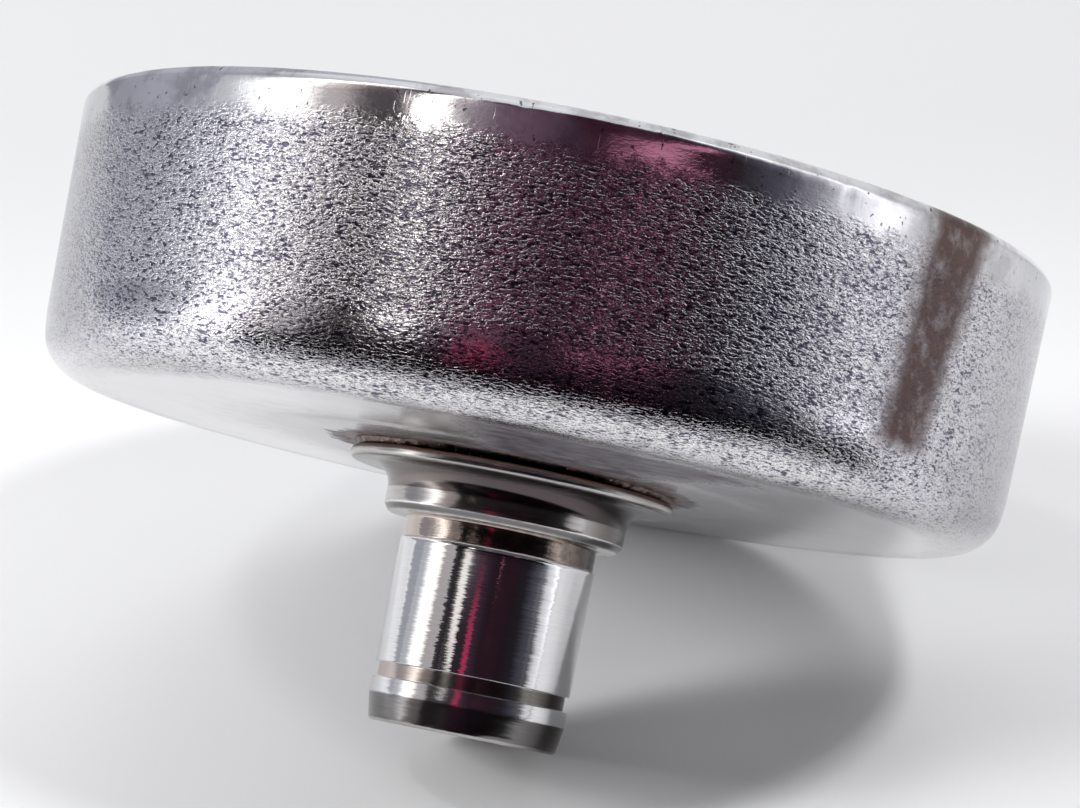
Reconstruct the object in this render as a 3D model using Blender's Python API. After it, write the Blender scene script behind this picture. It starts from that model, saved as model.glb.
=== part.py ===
"""Brazed clutch drum with a splined hub, standing mouth down on its rim, modelled in metres.

The origin is the centre of the rim's face and +Z runs along the hub towards its free end.
A deep-drawn steel bell carries a turned hub: the hub's spigot passes through the bell's web,
its flange seats on the web from outside, and a ring of braze runs round the joint on each side.
"""
import math

import bmesh
import bpy
from mathutils import Vector

MM = 0.001

# ---- bell: one deep-drawn sheet ------------------------------------------------------------
BELL_DIAMETER = 75.0 * MM            # outside, just behind the rim's edge
BELL_HEIGHT = 21.0 * MM              # rim face to the outer face of the web
WALL_DRAFT = 0.5 * MM                # the outside is this much smaller in radius at the corner
WALL_SHEET = 2.2 * MM                # wall, measured at the corner end
WEB_SHEET = 2.2 * MM
CORNER_RADIUS = 3.7 * MM             # outside, between the wall and the web
INNER_CORNER_RADIUS = 1.6 * MM
RIM_EDGE_RADIUS = 0.9 * MM           # rolled outer edge of the mouth
RIM_CHAMFER = 0.4 * MM               # inner edge of the mouth
PAD_DIAMETER = 37.2 * MM             # coined pad round the hub
PAD_RISE = 0.1 * MM
HOLE_CHAMFER = 0.3 * MM

# ---- hub: one turned bar ------------------------------------------------------------------
SPIGOT_DIAMETER = 16.0 * MM          # passes through the web
SPIGOT_PROUD = 1.2 * MM              # stands out of the web inside the bell
SPIGOT_CHAMFER = 0.4 * MM
SEAT_INSET = 0.9 * MM                # the land that sits on the pad is this far in from the flange's edge
SEAT_HEIGHT = 0.5 * MM
FLANGE_DIAMETER = 25.0 * MM
FLANGE_THICKNESS = 0.9 * MM
FLANGE_EDGE_RADIUS = 0.38 * MM
COLLAR_DIAMETER = 18.45 * MM         # its end face is the shoulder that a bearing rests on
COLLAR_HEIGHT = 3.45 * MM            # flange face to shoulder
COLLAR_FILLET_RADIUS = 1.65 * MM     # hollow between the flange's face and the collar
COLLAR_CHAMFER_WIDTH = 0.4 * MM      # at the shoulder, in radius
COLLAR_CHAMFER_HEIGHT = 0.55 * MM
RELIEF_DEPTH = 0.15 * MM             # undercut below the journal
RELIEF_LENGTH = 1.7 * MM
SHOULDER_SETBACK = 0.1 * MM          # the shoulder's flat starts this far outside the journal
JOURNAL_DIAMETER = 15.0 * MM         # ground seat of a 15 mm bore bearing
SHOULDER_TO_GROOVE = 11.3 * MM       # bearing width and its play
JOURNAL_CHAMFER = 0.12 * MM
GROOVE_DIAMETER = 14.3 * MM          # circlip groove
GROOVE_WIDTH = 1.15 * MM
LAND_LENGTH = 1.25 * MM              # beyond the groove
LEAD_LENGTH = 2.05 * MM              # slow taper that starts a bearing on the journal
LEAD_DROP = 0.3 * MM                 # radius lost along the taper
TIP_CHAMFER = 0.18 * MM

# ---- splined bore --------------------------------------------------------------------------
SPLINE_TEETH = 9
SPLINE_MAJOR_DIAMETER = 8.2 * MM
SPLINE_MINOR_DIAMETER = 6.8 * MM
SPLINE_FLANK_SHARE = 0.125           # share of one pitch that each flank takes
SPLINE_TOOTH_SHARE = 0.375           # share of one pitch that a tooth's crest takes
BORE_COUNTERSINK = 0.45 * MM         # mouth of the bore, wider than the spline by this radius
DRIVE_END_RELIEF = 3.0 * MM          # plain length inside the bell
DRIVE_END_RELIEF_DIAMETER = 8.9 * MM

# ---- braze ---------------------------------------------------------------------------------
OUTER_BRAZE_SETBACK = 0.26 * MM      # inside the flange's edge, on average
OUTER_BRAZE_WANDER = 0.3 * MM        # how far its edge runs in and out
INNER_BRAZE_WIDTH = 1.8 * MM
INNER_BRAZE_HEIGHT = 0.85 * MM
INNER_BRAZE_WANDER = 0.25 * MM
BRAZE_EDGE = 0.08 * MM               # thickness where it feathers out

# ---- fits and roundness --------------------------------------------------------------------
SPIGOT_CLEARANCE = 0.05 * MM         # spigot to hole, each side
SEAT_CLEARANCE = 0.04 * MM           # hub's land to the bell's pad
BRAZE_CLEARANCE = 0.04 * MM          # braze to each steel face
BELL_SEGMENTS = 96
HUB_SEGMENTS = 72
BRAZE_SEGMENTS = 72
CUTTER_OVERRUN = 2.0 * MM             # how far a cutter starts outside the metal
MERGE = 1e-7
SHARP_ANGLE = math.radians(28)

# ---- heights worked out from the sizes above -----------------------------------------------
web_inside = BELL_HEIGHT - WEB_SHEET
pad_face = BELL_HEIGHT + PAD_RISE
seat_face = pad_face + SEAT_CLEARANCE
flange_back = seat_face + SEAT_HEIGHT
flange_face = flange_back + FLANGE_THICKNESS
shoulder = flange_face + COLLAR_HEIGHT
journal_start = shoulder + RELIEF_LENGTH
groove_start = shoulder + SHOULDER_TO_GROOVE
groove_end = groove_start + GROOVE_WIDTH
lead_start = groove_end + LAND_LENGTH
tip = lead_start + LEAD_LENGTH
spigot_end = web_inside - SPIGOT_PROUD
spigot_radius = SPIGOT_DIAMETER / 2
hole_radius = spigot_radius + SPIGOT_CLEARANCE
seat_radius = FLANGE_DIAMETER / 2 - SEAT_INSET


def clear_scene():
    for item in list(bpy.data.objects):
        bpy.data.objects.remove(item, do_unlink=True)


def steel(name, colour, roughness, metallic=1.0):
    material = bpy.data.materials.new(name)
    material.use_nodes = True
    shader = material.node_tree.nodes["Principled BSDF"]
    shader.inputs["Base Color"].default_value = (*colour, 1)
    shader.inputs["Roughness"].default_value = roughness
    shader.inputs["Metallic"].default_value = metallic
    return material


def arc(centre, radii, start, end, steps):
    """Points on an ellipse's arc in the (radius, height) plane, angles in degrees, ends included."""
    points = []
    for step in range(steps + 1):
        angle = math.radians(start + (end - start) * step / steps)
        points.append((centre[0] + radii[0] * math.cos(angle), centre[1] + radii[1] * math.sin(angle)))
    return points


def link(mesh_maker, name, material):
    """Turn a finished bmesh into a smooth-shaded object with sharp turned edges."""
    bmesh.ops.recalc_face_normals(mesh_maker, faces=mesh_maker.faces)
    mesh = bpy.data.meshes.new(name)
    mesh_maker.to_mesh(mesh)
    mesh_maker.free()
    mesh.shade_smooth()
    mesh.set_sharp_from_angle(angle=SHARP_ANGLE)
    mesh.materials.append(material)
    item = bpy.data.objects.new(name, mesh)
    bpy.context.collection.objects.link(item)
    return item


def revolve(name, profile, segments, material):
    """Spin a closed (radius, height) outline once round Z; points on the axis close by merging."""
    maker = bmesh.new()
    verts = [maker.verts.new((radius, 0, height)) for radius, height in profile]
    edges = [maker.edges.new((verts[i - 1], verts[i])) for i in range(len(verts))]
    bmesh.ops.spin(maker, geom=verts + edges, axis=(0, 0, 1), cent=(0, 0, 0), angle=math.tau,
                   steps=segments, use_merge=True)
    bmesh.ops.remove_doubles(maker, verts=maker.verts, dist=MERGE)
    bmesh.ops.dissolve_degenerate(maker, edges=maker.edges, dist=MERGE)
    return link(maker, name, material)


def make_bell(material):
    """Drawn cup: drafted outside, straight friction wall inside, coined pad and a hole in its web."""
    outer = BELL_DIAMETER / 2
    outer_at_corner = outer - WALL_DRAFT
    inner = outer_at_corner - WALL_SHEET
    pad = PAD_DIAMETER / 2
    profile = [(inner + RIM_CHAMFER, 0)]
    profile += arc((outer - RIM_EDGE_RADIUS, RIM_EDGE_RADIUS), (RIM_EDGE_RADIUS,) * 2, -90, 0, 4)
    profile += arc((outer_at_corner - CORNER_RADIUS, BELL_HEIGHT - CORNER_RADIUS),
                   (CORNER_RADIUS,) * 2, 0, 90, 8)
    profile += [(pad + PAD_RISE, BELL_HEIGHT), (pad, pad_face)]
    profile += [(hole_radius + HOLE_CHAMFER, pad_face), (hole_radius, pad_face - HOLE_CHAMFER)]
    profile += [(hole_radius, web_inside)]
    profile += arc((inner - INNER_CORNER_RADIUS, web_inside - INNER_CORNER_RADIUS),
                   (INNER_CORNER_RADIUS,) * 2, 90, 0, 4)
    profile += [(inner, RIM_CHAMFER)]
    return revolve("drum_bell", profile, BELL_SEGMENTS, material)


def hub_profile():
    """Outline of the solid turned bar, from its end inside the bell to its free end."""
    flange = FLANGE_DIAMETER / 2
    collar = COLLAR_DIAMETER / 2
    journal = JOURNAL_DIAMETER / 2
    relief = journal - RELIEF_DEPTH
    root = RELIEF_DEPTH + SHOULDER_SETBACK
    groove = GROOVE_DIAMETER / 2
    edge = FLANGE_EDGE_RADIUS
    profile = [(0, spigot_end), (spigot_radius - SPIGOT_CHAMFER, spigot_end)]
    profile += [(spigot_radius, spigot_end + SPIGOT_CHAMFER), (spigot_radius, seat_face)]
    profile += [(seat_radius, seat_face), (seat_radius, flange_back)]
    profile += arc((flange - edge, flange_back + edge), (edge, edge), -90, 0, 3)
    profile += arc((flange - edge, flange_face - edge), (edge, edge), 0, 90, 3)
    profile += arc((collar + COLLAR_FILLET_RADIUS, flange_face + COLLAR_FILLET_RADIUS),
                   (COLLAR_FILLET_RADIUS,) * 2, 270, 180, 7)
    profile += [(collar, shoulder - COLLAR_CHAMFER_HEIGHT), (collar - COLLAR_CHAMFER_WIDTH, shoulder)]
    profile += arc((relief + root, shoulder + root), (root, root), 270, 180, 3)
    profile += [(relief, journal_start)]
    profile += [(journal - JOURNAL_CHAMFER / 2, journal_start), (journal, journal_start + JOURNAL_CHAMFER)]
    profile += [(journal, groove_start), (groove, groove_start), (groove, groove_end), (journal, groove_end)]
    profile += [(journal, lead_start), (journal - LEAD_DROP, tip - TIP_CHAMFER)]
    profile += [(journal - LEAD_DROP - TIP_CHAMFER, tip), (0, tip)]
    return profile


def spline_outline():
    """One turn of the broached spline: roots, flanks and crests, tooth after tooth."""
    root_share = 1 - SPLINE_TOOTH_SHARE - 2 * SPLINE_FLANK_SHARE
    root = SPLINE_MAJOR_DIAMETER / 2
    crest = SPLINE_MINOR_DIAMETER / 2
    outline = []
    for tooth in range(SPLINE_TEETH):
        pitch_start = tooth - SPLINE_TOOTH_SHARE / 2
        crest_end = pitch_start + SPLINE_TOOTH_SHARE
        root_start = crest_end + SPLINE_FLANK_SHARE
        for radius, start, width in ((crest, pitch_start, SPLINE_TOOTH_SHARE), (root, root_start, root_share)):
            for step in range(4):
                angle = (start + width * step / 3) * math.tau / SPLINE_TEETH
                outline.append((radius * math.cos(angle), radius * math.sin(angle)))
    return outline


def as_cutter(item):
    """A cutter only cuts: it isn't a piece of the drum."""
    item.hide_render = True
    item.display_type = "WIRE"
    return item


def spline_cutter(material):
    """The broach: the spline's outline drawn through the whole hub and past both its ends."""
    maker = bmesh.new()
    ring = [maker.verts.new((x, y, spigot_end - CUTTER_OVERRUN)) for x, y in spline_outline()]
    bottom = maker.faces.new(ring)
    raised = bmesh.ops.extrude_face_region(maker, geom=[bottom])["geom"]
    top = [part for part in raised if isinstance(part, bmesh.types.BMVert)]
    length = tip - spigot_end + 2 * CUTTER_OVERRUN
    bmesh.ops.translate(maker, verts=top, vec=Vector((0, 0, length)))
    return as_cutter(link(maker, "spline_cutter", material))


def drive_end_cutter(material):
    """Plain relief inside the bell, ending in a cone where the spline starts."""
    relief = DRIVE_END_RELIEF_DIAMETER / 2
    crest = SPLINE_MINOR_DIAMETER / 2
    floor = spigot_end + DRIVE_END_RELIEF
    profile = [(0, spigot_end - CUTTER_OVERRUN), (relief, spigot_end - CUTTER_OVERRUN), (relief, floor)]
    profile += [(crest, floor + relief - crest), (0, floor + relief - crest)]
    return as_cutter(revolve("drive_end_cutter", profile, HUB_SEGMENTS, material))


def countersink_cutter(material):
    """Countersink at the free end, from the spline's crests out past its roots."""
    mouth = SPLINE_MAJOR_DIAMETER / 2 + BORE_COUNTERSINK
    crest = SPLINE_MINOR_DIAMETER / 2
    profile = [(0, tip - (mouth - crest)), (crest, tip - (mouth - crest)), (mouth, tip)]
    profile += [(mouth, tip + CUTTER_OVERRUN), (0, tip + CUTTER_OVERRUN)]
    return as_cutter(revolve("countersink_cutter", profile, HUB_SEGMENTS, material))


def make_hub(material):
    """Turned bar, then broached, relieved at the drive end and countersunk at the free end."""
    hub = revolve("hub_shaft", hub_profile(), HUB_SEGMENTS, material)
    for make_cutter in (spline_cutter, drive_end_cutter, countersink_cutter):
        cutter = make_cutter(material)
        cut = hub.modifiers.new(cutter.name, "BOOLEAN")
        cut.operation = "DIFFERENCE"
        cut.solver = "EXACT"
        cut.object = cutter
    return hub


def wander(angle, amount, phase):
    """Smooth uneven edge of a metal that ran while molten, the same every time."""
    waves = ((2, 0.45), (5, 0.22), (8, 0.18), (13, 0.15))
    return amount * sum(share * math.cos(count * (angle + phase)) for count, share in waves)


def braze_ring(name, section, phase, amount, material):
    """Loft a small closed section round the joint; section gives each point's share of the wander."""
    maker = bmesh.new()
    rings = []
    for step in range(BRAZE_SEGMENTS):
        angle = math.tau * step / BRAZE_SEGMENTS
        shift = wander(angle, amount, phase)
        ring = []
        for radius, height, share in section:
            reach = radius + shift * share
            ring.append(maker.verts.new((reach * math.cos(angle), reach * math.sin(angle), height)))
        rings.append(ring)
    for step, ring in enumerate(rings):
        following = rings[(step + 1) % BRAZE_SEGMENTS]
        for i in range(len(ring)):
            maker.faces.new((ring[i - 1], ring[i], following[i], following[i - 1]))
    return link(maker, name, material)


def make_outer_braze(material):
    """Braze that crept out between the pad and the back of the flange."""
    inside = seat_radius + BRAZE_CLEARANCE
    outside = FLANGE_DIAMETER / 2 - OUTER_BRAZE_SETBACK
    width = outside - inside
    bottom = pad_face + BRAZE_CLEARANCE
    top = flange_back - BRAZE_CLEARANCE
    middle = (bottom + top) / 2
    section = [(inside, bottom, 0), (outside, bottom, 1), (outside - BRAZE_EDGE / 2, bottom + BRAZE_EDGE, 1),
               (outside - width * 0.35, middle, 0.9), (outside - width * 0.6, top, 0.8),
               (inside, top, 0)]
    return braze_ring("outer_braze_ring", section, 0.1, OUTER_BRAZE_WANDER, material)


def make_inner_braze(material):
    """Concave fillet of braze round the spigot, inside the bell."""
    inside = spigot_radius + BRAZE_CLEARANCE
    top = web_inside - BRAZE_CLEARANCE
    reach = INNER_BRAZE_WIDTH
    drop = INNER_BRAZE_HEIGHT
    section = [(inside, top, 0), (inside, top - drop, 0), (inside + BRAZE_EDGE, top - drop, 0)]
    section += [(inside + reach * 0.22, top - drop * 0.55, 0.35), (inside + reach * 0.5, top - drop * 0.28, 0.7)]
    section += [(inside + reach, top - BRAZE_EDGE, 1), (inside + reach, top, 1)]
    return braze_ring("inner_braze_ring", section, 1.9, INNER_BRAZE_WANDER, material)


def build():
    clear_scene()
    drawn = steel("drawn_steel", (0.56, 0.55, 0.57), 0.36)
    ground = steel("ground_steel", (0.66, 0.65, 0.64), 0.2)
    copper = steel("braze_copper", (0.48, 0.3, 0.2), 0.45)
    make_bell(drawn)
    make_hub(ground)
    make_outer_braze(copper)
    make_inner_braze(copper)


build()
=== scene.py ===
import math

import bmesh
import bpy
from mathutils import Matrix, Vector, noise


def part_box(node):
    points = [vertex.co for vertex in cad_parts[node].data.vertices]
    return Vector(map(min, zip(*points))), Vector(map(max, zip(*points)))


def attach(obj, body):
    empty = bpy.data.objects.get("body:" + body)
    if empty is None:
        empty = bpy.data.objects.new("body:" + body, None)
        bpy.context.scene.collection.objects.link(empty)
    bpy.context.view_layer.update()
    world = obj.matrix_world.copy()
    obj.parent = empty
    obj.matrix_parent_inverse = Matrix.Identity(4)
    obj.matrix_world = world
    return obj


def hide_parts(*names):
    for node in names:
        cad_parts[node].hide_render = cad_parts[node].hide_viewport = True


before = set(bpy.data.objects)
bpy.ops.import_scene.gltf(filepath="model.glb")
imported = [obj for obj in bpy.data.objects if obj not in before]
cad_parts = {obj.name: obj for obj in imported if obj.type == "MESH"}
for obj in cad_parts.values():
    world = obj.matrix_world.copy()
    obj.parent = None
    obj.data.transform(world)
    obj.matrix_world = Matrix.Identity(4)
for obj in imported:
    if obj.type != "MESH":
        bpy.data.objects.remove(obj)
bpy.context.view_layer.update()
mm = 0.001
print("frame loaded:", sorted(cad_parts))

bellLow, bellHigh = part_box("drum_bell")
hubLow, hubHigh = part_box("hub_shaft")
padFace = bellHigh.z
hubTip = hubHigh.z
spigotEnd = hubLow.z


def evenly(start, end, steps):
    return [start + (end - start) * step / steps for step in range(steps + 1)]


def arcPoints(centre, radius, start, end, steps):
    # points on an arc in the (radius, height) plane, angles in degrees
    angles = [math.radians(degrees) for degrees in evenly(start, end, steps)]
    return [(centre[0] + radius * math.cos(a), centre[1] + radius * math.sin(a)) for a in angles]


def fillRuns(outline, step, closed=True):
    # long straight runs get points in between, so that small dents can be pushed in
    filled = []
    count = len(outline) if closed else len(outline) - 1
    for i in range(count):
        here, there = outline[i], outline[(i + 1) % len(outline)]
        pieces = max(1, round(math.dist(here, there) / step))
        for k in range(pieces):
            filled.append(tuple(here[j] + (there[j] - here[j]) * k / pieces for j in (0, 1)))
    return filled if closed else filled + [outline[-1]]


def breakEdges(outline, size, closed=True):
    # every corner of the outline that turns by more than 30 degrees becomes a tiny two-point chamfer
    broken = []
    count = len(outline)
    for i, here in enumerate(outline):
        before, after = outline[i - 1], outline[(i + 1) % count]
        a = Vector(before) - Vector(here)
        b = Vector(after) - Vector(here)
        if (not closed and i in (0, count - 1)) or a.angle(b, math.pi) > math.radians(150):
            broken.append(here)
            continue
        cut = min(size, a.length / 3, b.length / 3)
        for side in (a, b):
            broken.append(tuple(Vector(here) + side.normalized() * cut))
    return broken


def stand(name, data):
    thing = bpy.data.objects.new(name, data)
    bpy.context.scene.collection.objects.link(thing)
    return thing


def meshFromRings(name, rings, shape=None, sharp=35):
    # closed body from rings of equal length, the last ring joined to the first
    verts = [co for ring in rings for co in ring]
    if shape:
        verts = [shape(Vector(co)) for co in verts]
    count, width = len(rings), len(rings[0])
    faces = []
    for i in range(count):
        j = (i + 1) % count
        for k in range(width):
            m = (k + 1) % width
            faces.append((i * width + k, i * width + m, j * width + m, j * width + k))
    mesh = bpy.data.meshes.new(name)
    mesh.from_pydata(verts, [], faces)
    fixer = bmesh.new()
    fixer.from_mesh(mesh)
    bmesh.ops.recalc_face_normals(fixer, faces=fixer.faces)
    fixer.to_mesh(mesh)
    fixer.free()
    mesh.shade_smooth()
    mesh.set_sharp_from_angle(angle=math.radians(sharp))
    return stand(name, mesh)


def turn(name, outline, segments, shape=None, sharp=35):
    # spins a closed (radius, height) outline round Z
    angles = [math.tau * k / segments for k in range(segments)]
    rings = [[(r * math.cos(a), r * math.sin(a), z) for a in angles] for r, z in outline]
    return meshFromRings(name, rings, shape, sharp)


def polar(point):
    return math.hypot(point.x, point.y), math.degrees(math.atan2(point.y, point.x))


def pushed(point, push, lift=0):
    # moves a point away from the axis, and up
    grow = 1 + push / polar(point)[0]
    return Vector((point.x * grow, point.y * grow, point.z + lift))


bellForm = {
    "rimRadius": bellHigh.x,        # outside, at the mouth
    "wallDraft": 0.5 * mm,
    "sheet": 2.2 * mm,
    "padRise": 0.1 * mm,
    "padRadius": 18.6 * mm,
    "padSlope": (0.9 * mm, 0.3 * mm),  # its step is soft: this far outside and inside its radius
    "cornerRadius": 3.7 * mm,       # the corner's mean radius: it starts gently on the wall and tightens
    "cornerStart": (15 * mm, 10),   # radius and degrees of its gentle start
    "cornerTight": 3.4 * mm,
    "innerCorner": 1.6 * mm,
    "rimRound": 0.9 * mm,
    "rimChamfer": 0.4 * mm,
    "holeRadius": 8.05 * mm,
    "holeChamfer": 0.3 * mm,
    "edgeBreak": 0.04 * mm,         # every edge is broken by this much
    "segments": 540,
    "wallStep": 0.45 * mm,
    "rimWave": 0.03 * mm,           # unevenness of the rolled rim edge
}
dents = (  # angle in degrees, height, width, tallness, depth: knocks that the rim and wall have taken
    (-46.7, 0.7 * mm, 0.55 * mm, 0.5 * mm, 0.16 * mm),
    (-33.4, 2.0 * mm, 0.25 * mm, 0.9 * mm, 0.05 * mm),
    (-15.4, 6.2 * mm, 0.4 * mm, 1.1 * mm, 0.05 * mm),
    (-25.9, 6.6 * mm, 0.35 * mm, 0.9 * mm, 0.05 * mm),
    (-108.3, 3.6 * mm, 0.5 * mm, 0.4 * mm, 0.05 * mm),
    (-119.2, 1.1 * mm, 0.2 * mm, 0.9 * mm, 0.06 * mm),
    (-84.0, 0.5 * mm, 0.3 * mm, 0.4 * mm, 0.07 * mm),
    (-131.5, 0.8 * mm, 0.4 * mm, 0.5 * mm, 0.07 * mm),
    (64.0, 0.6 * mm, 0.5 * mm, 0.5 * mm, 0.12 * mm),
    (151.0, 0.8 * mm, 0.4 * mm, 0.6 * mm, 0.08 * mm),
)


def bellOutline():
    form = bellForm
    webFace = padFace - form["padRise"]
    webInside = webFace - form["sheet"]
    rim = form["rimRadius"]
    atCorner = rim - form["wallDraft"]
    inner = atCorner - form["sheet"]
    bore, pad = form["holeRadius"], form["padRadius"]
    outline = [(inner + form["rimChamfer"], 0)]
    outline += arcPoints((rim - form["rimRound"], form["rimRound"]), form["rimRound"], -90, 0, 8)
    gentle, lead = form["cornerStart"]
    tight = form["cornerTight"]
    drop, run = math.sin(math.radians(lead)), math.cos(math.radians(lead))
    start = webFace - tight * (1 - drop) - gentle * drop
    outline += arcPoints((atCorner - gentle, start), gentle, 0, lead, 8)
    outline += arcPoints((atCorner - gentle + (gentle - tight) * run, webFace - tight), tight, lead, 90, 20)[1:]
    outline += [(pad + form["padSlope"][0], webFace), (pad - form["padSlope"][1], padFace)]
    outline += [(bore + form["holeChamfer"], padFace), (bore, padFace - form["holeChamfer"]), (bore, webInside)]
    corner = form["innerCorner"]
    outline += arcPoints((inner - corner, webInside - corner), corner, 90, 0, 10)
    outline += [(inner, form["rimChamfer"])]
    return fillRuns(breakEdges(outline, form["edgeBreak"]), form["wallStep"])


def wearBell(point):
    # rim edge is slightly uneven, and each knock pushes the wall in
    radius, angle = polar(point)
    if radius < bellForm["rimRadius"] - 2 * mm:
        return point
    nearRim = max(0, 1 - point.z / (1.6 * mm))
    push = nearRim * bellForm["rimWave"] * noise.noise(point / (1.4 * mm))
    for dentAngle, height, width, tall, depth in dents:
        across = math.radians((angle - dentAngle + 180) % 360 - 180) * radius
        spread = (across / width) ** 2 + ((point.z - height) / tall) ** 2
        if spread < 6:
            push += depth * math.exp(-spread)
    return pushed(point, -push)


def makeBell():
    bell = turn("drumBell", bellOutline(), bellForm["segments"], wearBell)
    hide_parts("drum_bell")
    return bell


hubForm = {
    "spigotRadius": 8.0 * mm,
    "spigotChamfer": 0.4 * mm,
    "seatInset": 0.9 * mm,
    "seatGap": 0.04 * mm,
    "seatHeight": 0.5 * mm,
    "flangeRadius": hubHigh.x,
    "flangeThick": 0.9 * mm,
    "flangeRound": 0.38 * mm,
    "collarRadius": 9.225 * mm,
    "collarHeight": 3.45 * mm,
    "fillet": 1.65 * mm,
    "collarChamfer": (0.4 * mm, 0.55 * mm),
    "reliefRadius": 7.35 * mm,
    "reliefLength": 1.7 * mm,
    "reliefRoot": 0.25 * mm,
    "journalRadius": 7.5 * mm,
    "journalChamfer": 0.12 * mm,
    "shoulderToGroove": 11.3 * mm,
    "grooveRadius": 7.15 * mm,
    "grooveWidth": 1.15 * mm,
    "landLength": 1.25 * mm,
    "leadDrop": 0.3 * mm,
    "tipChamfer": 0.18 * mm,
    "edgeBreak": 0.04 * mm,         # every turned edge is broken by this much
    "burr": 0.05 * mm,              # wavy lip that the tool left round the tip
    "teeth": 9,
    "splineRoot": 4.1 * mm,
    "splineCrest": 3.4 * mm,
    "mouthRadius": 4.55 * mm,
    "driveRelief": 4.45 * mm,
    "driveReliefLength": 3.0 * mm,
    "segments": 288,
    "step": 0.3 * mm,
}
seatFace = padFace + hubForm["seatGap"]
flangeBack = seatFace + hubForm["seatHeight"]
flangeFace = flangeBack + hubForm["flangeThick"]
shoulder = flangeFace + hubForm["collarHeight"]
journalStart = shoulder + hubForm["reliefLength"]
grooveStart = shoulder + hubForm["shoulderToGroove"]
grooveEnd = grooveStart + hubForm["grooveWidth"]
leadStart = grooveEnd + hubForm["landLength"]


def hubOutline():
    # outside of the bar, from the edge of its bore inside the bell to the edge of its bore at the tip
    form = hubForm
    flange, collar, journal = form["flangeRadius"], form["collarRadius"], form["journalRadius"]
    seat = flange - form["seatInset"]
    edge = form["flangeRound"]
    chamfer, chamferHeight = form["collarChamfer"]
    relief, root, fillet, ease = form["reliefRadius"], form["reliefRoot"], form["fillet"], form["journalChamfer"]
    outline = [(form["driveRelief"], spigotEnd), (form["spigotRadius"] - form["spigotChamfer"], spigotEnd)]
    outline += [(form["spigotRadius"], spigotEnd + form["spigotChamfer"]), (form["spigotRadius"], seatFace)]
    outline += [(seat, seatFace), (seat, flangeBack)]
    outline += arcPoints((flange - edge, flangeBack + edge), edge, -90, 0, 7)
    outline += arcPoints((flange - edge, flangeFace - edge), edge, 0, 90, 7)
    outline += arcPoints((collar + fillet, flangeFace + fillet), fillet, 270, 180, 20)
    outline += [(collar, shoulder - chamferHeight), (collar - chamfer, shoulder)]
    outline += arcPoints((relief + root, shoulder + root), root, 270, 180, 6)
    outline += [(relief, journalStart)]
    outline += [(journal - ease / 2, journalStart), (journal, journalStart + ease)]
    outline += [(journal, grooveStart), (form["grooveRadius"], grooveStart)]
    outline += [(form["grooveRadius"], grooveEnd), (journal, grooveEnd)]
    outline += [(journal, leadStart), (journal - form["leadDrop"], hubTip - form["tipChamfer"])]
    outline += [(journal - form["leadDrop"] - form["tipChamfer"], hubTip), (form["mouthRadius"], hubTip)]
    return fillRuns(breakEdges(outline, form["edgeBreak"], closed=False), form["step"], closed=False)


def splineRadius(turnShare):
    # broached bore: crest, flank, root, flank, as a share of one pitch
    share = (turnShare * hubForm["teeth"]) % 1
    crest, root = hubForm["splineCrest"], hubForm["splineRoot"]
    corners = ((0, crest), (0.1875, crest), (0.3125, root), (0.6875, root), (0.8125, crest), (1, crest))
    for (low, lowRadius), (high, highRadius) in zip(corners, corners[1:]):
        if share <= high:
            return lowRadius + (highRadius - lowRadius) * (share - low) / (high - low)
    return crest


def boreRings(angles):
    # from the tip's countersink down the spline to the plain relief inside the bell
    form = hubForm
    mouth, relief = form["mouthRadius"], form["driveRelief"]
    depth = mouth - form["splineCrest"]
    reliefFloor = spigotEnd + form["driveReliefLength"]
    rings = []
    for share in (0, 0.35, 0.7, 1):
        cone = mouth - depth * share
        rings.append([(max(cone, splineRadius(a / math.tau)), a, hubTip - depth * share) for a in angles])
    splineTop, splineLow = hubTip - depth, reliefFloor + relief - form["splineCrest"]
    for k in range(1, 12):
        height = splineTop + (splineLow - splineTop) * k / 11
        rings.append([(splineRadius(a / math.tau), a, height) for a in angles])
    for share in (0.35, 0.7):
        cone = form["splineCrest"] + (relief - form["splineCrest"]) * share
        height = splineLow + (reliefFloor - splineLow) * share
        rings.append([(max(cone, splineRadius(a / math.tau)), a, height) for a in angles])
    rings.append([(relief, a, reliefFloor) for a in angles])
    return rings


def wearHub(point):
    # the parting tool left a wavy burr round the tip
    radius, angle = polar(point)
    tipEdge = hubForm["journalRadius"] - hubForm["leadDrop"]
    if radius > tipEdge - 0.5 * mm and point.z > hubTip - 0.5 * mm:
        lift = noise.noise(Vector((math.cos(math.radians(angle)), math.sin(math.radians(angle)), 0)) * 6)
        push = hubForm["burr"] * lift
        return pushed(point, push, -abs(push) * 0.6)
    return point


def makeHub():
    segments = hubForm["segments"]
    angles = [math.tau * k / segments for k in range(segments)]
    rings = [[(r, a, z) for a in angles] for r, z in hubOutline()] + boreRings(angles)[1:]
    rings = [[(r * math.cos(a), r * math.sin(a), z) for r, a, z in ring] for ring in rings]
    hub = meshFromRings("hubShaft", rings, wearHub, sharp=40)
    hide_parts("hub_shaft")
    return hub


brazeForm = {
    "gap": 0.04 * mm,
    "outerSetback": 0.26 * mm,      # inside the flange's edge, on average
    "outerWander": 0.3 * mm,
    "innerWidth": 1.8 * mm,
    "innerHeight": 0.85 * mm,
    "innerWander": 0.3 * mm,
    "lump": 0.2 * mm,
    "segments": 540,
}


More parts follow.
